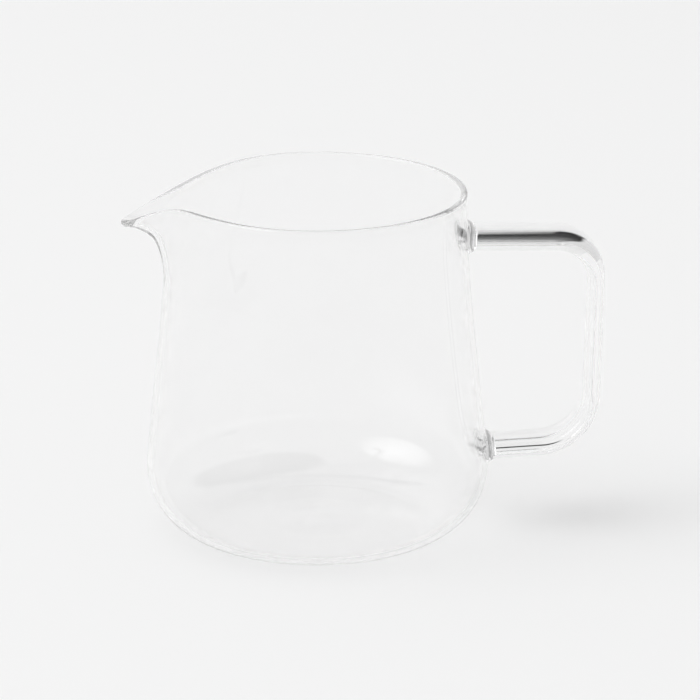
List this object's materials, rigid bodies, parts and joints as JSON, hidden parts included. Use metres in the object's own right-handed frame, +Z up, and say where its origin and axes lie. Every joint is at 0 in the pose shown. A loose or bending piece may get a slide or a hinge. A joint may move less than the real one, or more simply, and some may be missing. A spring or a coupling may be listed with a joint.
{
  "type": "coffee server",
  "caption": "Clear glass server: a jug that widens towards a rounded base, with a spout pulled out of its rim and a handle of flattened glass rod fused to the wall.",
  "frame": {"origin": "on the resting plane, at the centre of the base, on the jug's axis", "axes": "+Z up along the jug's axis; +X towards the handle; -X towards the spout; the object is symmetric about the XZ plane"},
  "size_m": [0.1327, 0.095, 0.097],
  "materials": {
    "jug_glass": "clear blown borosilicate glass, fire-polished",
    "handle_glass": "clear drawn borosilicate glass, fire-polished"
  },
  "bodies": {
    "root": {"vessel": "jug_glass", "handle": "handle_glass", "upper_handle_weld": "handle_glass", "lower_handle_weld": "handle_glass"}
  },
  "joints": []
}
